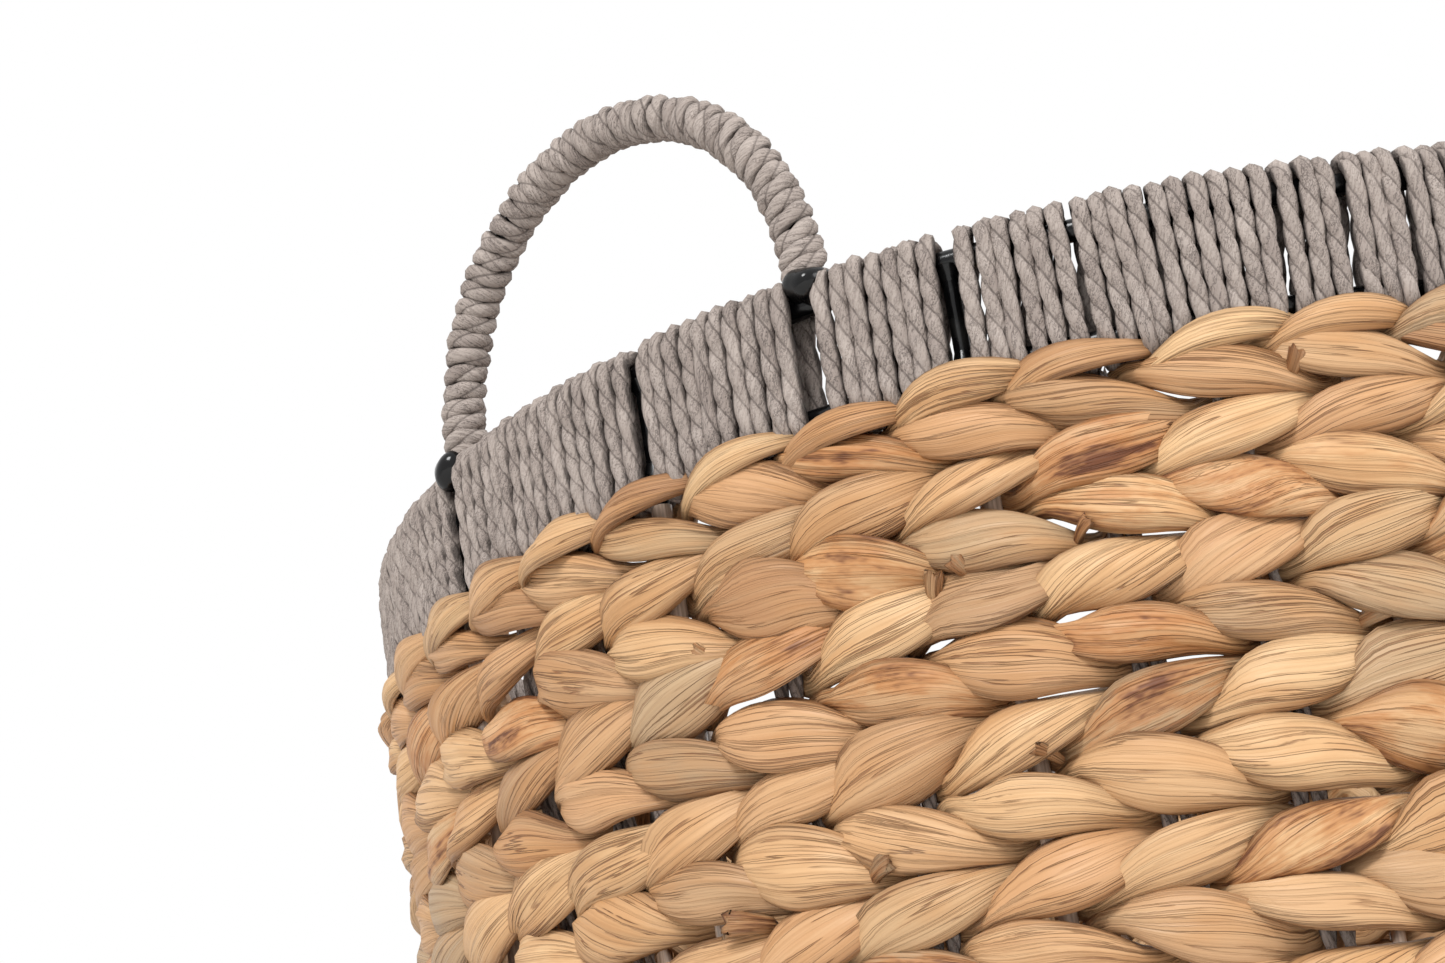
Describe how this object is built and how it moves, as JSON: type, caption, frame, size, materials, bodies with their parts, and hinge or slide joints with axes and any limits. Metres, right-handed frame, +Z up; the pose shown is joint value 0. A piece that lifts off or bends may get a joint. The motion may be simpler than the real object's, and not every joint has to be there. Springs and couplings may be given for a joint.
{
  "type": "woven laundry basket",
  "caption": "Round open basket of twined plant-fibre rows on a wire frame, with a cord-wrapped rim and arched cord-wrapped handles.",
  "frame": {"origin": "middle of the underside, on the floor", "axes": "+Z up; +X through the middle of the right handle; +Y towards the back"},
  "size_m": [0.4539, 0.454, 0.5703],
  "materials": {
    "water_hyacinth": "dried water hyacinth stems, flattened and twined, satin with fine lengthwise wrinkles",
    "paper_cord": "two-ply twisted paper cord, warm grey, matte",
    "black_enamel_wire": "round steel wire under gloss black enamel",
    "sleeve_plastic": "pale milky plastic sleeve, glossy"
  },
  "bodies": {
    "root": {"wall_row_01": "water_hyacinth", "wall_row_02": "water_hyacinth", "wall_row_03": "water_hyacinth", "wall_row_04": "water_hyacinth", "wall_row_05": "water_hyacinth", "wall_row_06": "water_hyacinth", "wall_row_07": "water_hyacinth", "wall_row_08": "water_hyacinth", "wall_row_09": "water_hyacinth", "wall_row_10": "water_hyacinth", "wall_row_11": "water_hyacinth", "wall_row_12": "water_hyacinth", "wall_row_13": "water_hyacinth", "wall_row_14": "water_hyacinth", "wall_row_15": "water_hyacinth", "wall_row_16": "water_hyacinth", "wall_row_17": "water_hyacinth", "wall_row_18": "water_hyacinth", "wall_row_19": "water_hyacinth", "wall_row_20": "water_hyacinth", "wall_row_21": "water_hyacinth", "wall_row_22": "water_hyacinth", "wall_row_23": "water_hyacinth", "wall_row_24": "water_hyacinth", "wall_row_25": "water_hyacinth", "wall_row_26": "water_hyacinth", "wall_row_27": "water_hyacinth", "base_row_01": "water_hyacinth", "base_row_02": "water_hyacinth", "base_row_03": "water_hyacinth", "base_row_04": "water_hyacinth", "base_row_05": "water_hyacinth", "base_row_06": "water_hyacinth", "base_row_07": "water_hyacinth", "base_row_08": "water_hyacinth", "base_row_09": "water_hyacinth", "base_row_10": "water_hyacinth", "base_row_11": "water_hyacinth", "base_row_12": "water_hyacinth", "rim_wrap_right": "paper_cord", "rim_wrap_back": "paper_cord", "rim_wrap_left": "paper_cord", "rim_wrap_front": "paper_cord", "handle_wrap_right": "paper_cord", "handle_wrap_left": "paper_cord", "foot_gap_cords": "paper_cord", "paper_stakes": "paper_cord", "top_rim_ring": "black_enamel_wire", "lower_rim_ring": "black_enamel_wire", "rim_posts": "black_enamel_wire", "side_wires": "black_enamel_wire", "hub_disc": "black_enamel_wire", "handle_wire_right": "black_enamel_wire", "handle_wire_left": "black_enamel_wire", "handle_welds": "black_enamel_wire", "rim_post_welds": "black_enamel_wire", "side_wire_welds": "black_enamel_wire", "side_wire_sleeves": "sleeve_plastic"}
  },
  "joints": []
}
